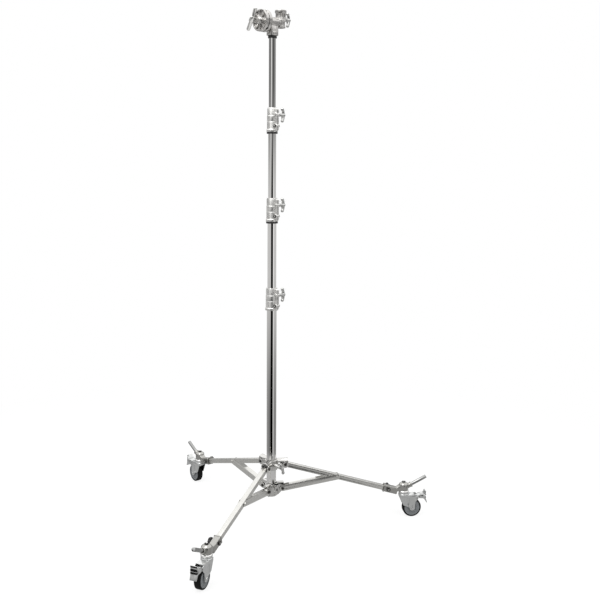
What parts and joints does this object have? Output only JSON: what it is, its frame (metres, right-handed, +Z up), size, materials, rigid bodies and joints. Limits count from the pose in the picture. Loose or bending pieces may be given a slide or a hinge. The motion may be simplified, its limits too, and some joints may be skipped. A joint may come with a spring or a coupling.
{
  "type": "overhead stand",
  "caption": "Rolling overhead stand: telescopic column on a folding three-legged base with braked casters, topped by a grip head and pin receiver.",
  "frame": {"origin": "on the floor, on the axis of the column", "axes": "+Z up along the column, +X along leg 1, legs 2 and 3 at 120 and 240 degrees"},
  "size_m": [1.2747, 1.472, 2.637],
  "materials": {
    "chrome_tube": "polished chrome plate",
    "cast_aluminium": "tumbled die casting",
    "zinc_bolt": "dark zinc plate",
    "level": "black housing with a clear vial",
    "knob_metal": "cast, satin",
    "black_plastic": "moulded",
    "leg_steel": "satin chrome plate",
    "handle_steel": "chrome plate",
    "zinc_plate": "bright zinc plate",
    "wheel_core": "moulded grey",
    "tyre": "black rubber tread"
  },
  "bodies": {
    "column": {"column_tube": "chrome_tube", "bottom_hub": "cast_aluminium", "hub_bolts": "zinc_bolt", "bubble_level": "level", "column_collar": "cast_aluminium"},
    "column_knob": {"column_knob": "knob_metal"},
    "base_collar": {"base_collar": "cast_aluminium", "collar_bolts": "zinc_bolt"},
    "base_collar_knob": {"base_collar_knob": "knob_metal"},
    "riser_1": {"riser_1_tube": "chrome_tube", "riser_1_guide": "black_plastic", "riser_1_collar": "cast_aluminium", "riser_1_seal": "black_plastic"},
    "riser_1_knob": {"riser_1_knob": "knob_metal"},
    "riser_2": {"riser_2_tube": "chrome_tube", "riser_2_guide": "black_plastic", "riser_2_collar": "cast_aluminium", "riser_2_seal": "black_plastic"},
    "riser_2_knob": {"riser_2_knob": "knob_metal"},
    "riser_3": {"riser_3_tube": "chrome_tube", "riser_3_guide": "black_plastic", "head_ring": "black_plastic", "head_neck": "cast_aluminium", "friction_washers": "black_plastic"},
    "jaw": {"inner_jaw": "cast_aluminium", "head_spindle": "zinc_bolt"},
    "outer_jaw": {"outer_jaw": "cast_aluminium"},
    "tee_handle": {"tee_handle": "knob_metal"},
    "receiver": {"receiver": "cast_aluminium"},
    "receiver_knob": {"receiver_knob": "knob_metal"},
    "leg_1": {"leg_1_tube": "leg_steel", "leg_1_casting": "cast_aluminium", "leg_1_handle": "handle_steel", "caster_1_stem": "zinc_plate"},
    "leg_1_knob": {"leg_1_knob": "black_plastic"},
    "strut_1": {"strut_1": "leg_steel"},
    "caster_1": {"caster_1_fork": "zinc_plate"},
    "wheel_1": {"caster_1_wheel": "wheel_core", "caster_1_tyre": "tyre"},
    "pedal_1": {"caster_1_pedal": "zinc_plate"},
    "leg_2": {"leg_2_tube": "leg_steel", "leg_2_casting": "cast_aluminium", "leg_2_handle": "handle_steel", "caster_2_stem": "zinc_plate"},
    "leg_2_knob": {"leg_2_knob": "black_plastic"},
    "strut_2": {"strut_2": "leg_steel"},
    "caster_2": {"caster_2_fork": "zinc_plate"},
    "wheel_2": {"caster_2_wheel": "wheel_core", "caster_2_tyre": "tyre"},
    "pedal_2": {"caster_2_pedal": "zinc_plate"},
    "leg_3": {"leg_3_tube": "leg_steel", "leg_3_casting": "cast_aluminium", "leg_3_handle": "handle_steel", "caster_3_stem": "zinc_plate"},
    "leg_3_knob": {"leg_3_knob": "black_plastic"},
    "strut_3": {"strut_3": "leg_steel"},
    "caster_3": {"caster_3_fork": "zinc_plate"},
    "wheel_3": {"caster_3_wheel": "wheel_core", "caster_3_tyre": "tyre"},
    "pedal_3": {"caster_3_pedal": "zinc_plate"}
  },
  "joints": [
    {"name": "riser_1_slide", "type": "slide", "parent": "column", "child": "riser_1", "axis": [0, 0, 1], "range_m": [-0.328, 0.53]},
    {"name": "riser_2_slide", "type": "slide", "parent": "riser_1", "child": "riser_2", "axis": [0, 0, 1], "range_m": [-0.319, 0.53]},
    {"name": "riser_3_slide", "type": "slide", "parent": "riser_2", "child": "riser_3", "axis": [0, 0, 1], "range_m": [-0.336, 0.53]},
    {"name": "column_knob_turn", "type": "hinge", "parent": "column", "child": "column_knob", "pos_m": [0.02288, -0.02727, 1.212], "axis": [0.766, 0.6428, 0], "range_deg": [0, 360]},
    {"name": "riser_1_knob_turn", "type": "hinge", "parent": "riser_1", "child": "riser_1_knob", "pos_m": [0.02128, -0.02536, 1.67], "axis": [0.766, 0.6428, 0], "range_deg": [0, 360]},
    {"name": "riser_2_knob_turn", "type": "hinge", "parent": "riser_2", "child": "riser_2_knob", "pos_m": [0.01967, -0.02344, 2.12], "axis": [0.766, 0.6428, 0], "range_deg": [0, 360]},
    {"name": "base_collar_slide", "type": "slide", "parent": "column", "child": "base_collar", "axis": [0, 0, 1], "range_m": [0, 0.438]},
    {"name": "base_collar_knob_turn", "type": "hinge", "parent": "base_collar", "child": "base_collar_knob", "pos_m": [0, 0, 0.32], "axis": [0.5, -0.866, 0], "range_deg": [-360, 0]},
    {"name": "leg_1_fold", "type": "hinge", "parent": "base_collar", "child": "leg_1", "pos_m": [0.072, 0, 0.318], "axis": [0, 1, 0], "range_deg": [0, 62.49]},
    {"name": "strut_1_fold", "type": "hinge", "parent": "column", "child": "strut_1", "pos_m": [0.058, 0, 0.19], "axis": [0, -1, 0], "range_deg": [0, 66.72]},
    {"name": "leg_1_knob_turn", "type": "hinge", "parent": "leg_1", "child": "leg_1_knob", "pos_m": [0.62497, 0, 0.15754], "axis": [0, 1, 0], "range_deg": [0, 360]},
    {"name": "caster_1_swivel", "type": "hinge", "parent": "leg_1", "child": "caster_1", "pos_m": [0.713, 0, 0.12], "axis": [0, 0, 1], "continuous": true},
    {"name": "wheel_1_spin", "type": "hinge", "parent": "caster_1", "child": "wheel_1", "pos_m": [0.757, 0, 0.05], "axis": [0, 1, 0], "continuous": true},
    {"name": "pedal_1_press", "type": "hinge", "parent": "caster_1", "child": "pedal_1", "pos_m": [0.782, 0, 0.107], "axis": [0, 1, 0], "range_deg": [0, 10]},
    {"name": "leg_2_fold", "type": "hinge", "parent": "base_collar", "child": "leg_2", "pos_m": [-0.036, 0.06235, 0.318], "axis": [-0.866, -0.5, 0], "range_deg": [0, 62.49]},
    {"name": "strut_2_fold", "type": "hinge", "parent": "column", "child": "strut_2", "pos_m": [-0.029, 0.05023, 0.19], "axis": [0.866, 0.5, 0], "range_deg": [0, 66.72]},
    {"name": "leg_2_knob_turn", "type": "hinge", "parent": "leg_2", "child": "leg_2_knob", "pos_m": [-0.31249, 0.54124, 0.15754], "axis": [0.866, 0.5, 0], "range_deg": [0, 360]},
    {"name": "caster_2_swivel", "type": "hinge", "parent": "leg_2", "child": "caster_2", "pos_m": [-0.3565, 0.61748, 0.12], "axis": [0, 0, 1], "continuous": true},
    {"name": "wheel_2_spin", "type": "hinge", "parent": "caster_2", "child": "wheel_2", "pos_m": [-0.3785, 0.65558, 0.05], "axis": [-0.866, -0.5, 0], "continuous": true},
    {"name": "pedal_2_press", "type": "hinge", "parent": "caster_2", "child": "pedal_2", "pos_m": [-0.391, 0.67723, 0.107], "axis": [-0.866, -0.5, 0], "range_deg": [0, 10]},
    {"name": "leg_3_fold", "type": "hinge", "parent": "base_collar", "child": "leg_3", "pos_m": [-0.036, -0.06235, 0.318], "axis": [0.866, -0.5, 0], "range_deg": [0, 62.49]},
    {"name": "strut_3_fold", "type": "hinge", "parent": "column", "child": "strut_3", "pos_m": [-0.029, -0.05023, 0.19], "axis": [-0.866, 0.5, 0], "range_deg": [0, 66.72]},
    {"name": "leg_3_knob_turn", "type": "hinge", "parent": "leg_3", "child": "leg_3_knob", "pos_m": [-0.31249, -0.54124, 0.15754], "axis": [-0.866, 0.5, 0], "range_deg": [0, 360]},
    {"name": "caster_3_swivel", "type": "hinge", "parent": "leg_3", "child": "caster_3", "pos_m": [-0.3565, -0.61748, 0.12], "axis": [0, 0, 1], "continuous": true},
    {"name": "wheel_3_spin", "type": "hinge", "parent": "caster_3", "child": "wheel_3", "pos_m": [-0.3785, -0.65558, 0.05], "axis": [0.866, -0.5, 0], "continuous": true},
    {"name": "pedal_3_press", "type": "hinge", "parent": "caster_3", "child": "pedal_3", "pos_m": [-0.391, -0.67723, 0.107], "axis": [0.866, -0.5, 0], "range_deg": [0, 10]},
    {"name": "jaw_turn", "type": "hinge", "parent": "riser_3", "child": "jaw", "pos_m": [0, 0, 2.573], "axis": [-0.809, -0.5878, 0], "continuous": true},
    {"name": "outer_jaw_slide", "type": "slide", "parent": "jaw", "child": "outer_jaw", "axis": [-0.809, -0.5878, 0], "range_m": [0, 0.012]},
    {"name": "tee_handle_turn", "type": "hinge", "parent": "outer_jaw", "child": "tee_handle", "pos_m": [0, 0, 2.573], "axis": [-0.809, -0.5878, 0], "range_deg": [0, 1442]},
    {"name": "receiver_turn", "type": "hinge", "parent": "riser_3", "child": "receiver", "pos_m": [0, 0, 2.573], "axis": [-0.809, -0.5878, 0], "continuous": true},
    {"name": "receiver_knob_turn", "type": "hinge", "parent": "receiver", "child": "receiver_knob", "pos_m": [0, 0, 2.594], "axis": [0.809, 0.5878, 0], "range_deg": [0, 360]}
  ],
  "couplings": [
    {"joint": "leg_1_fold", "follows": "base_collar_slide", "rad_per_m": 2.4823},
    {"joint": "strut_1_fold", "follows": "base_collar_slide", "rad_per_m": 2.6508},
    {"joint": "leg_2_fold", "follows": "base_collar_slide", "rad_per_m": 2.4823},
    {"joint": "strut_2_fold", "follows": "base_collar_slide", "rad_per_m": 2.6508},
    {"joint": "leg_3_fold", "follows": "base_collar_slide", "rad_per_m": 2.4823},
    {"joint": "strut_3_fold", "follows": "base_collar_slide", "rad_per_m": 2.6508},
    {"joint": "tee_handle_turn", "follows": "outer_jaw_slide", "rad_per_m": 2094.4}
  ]
}
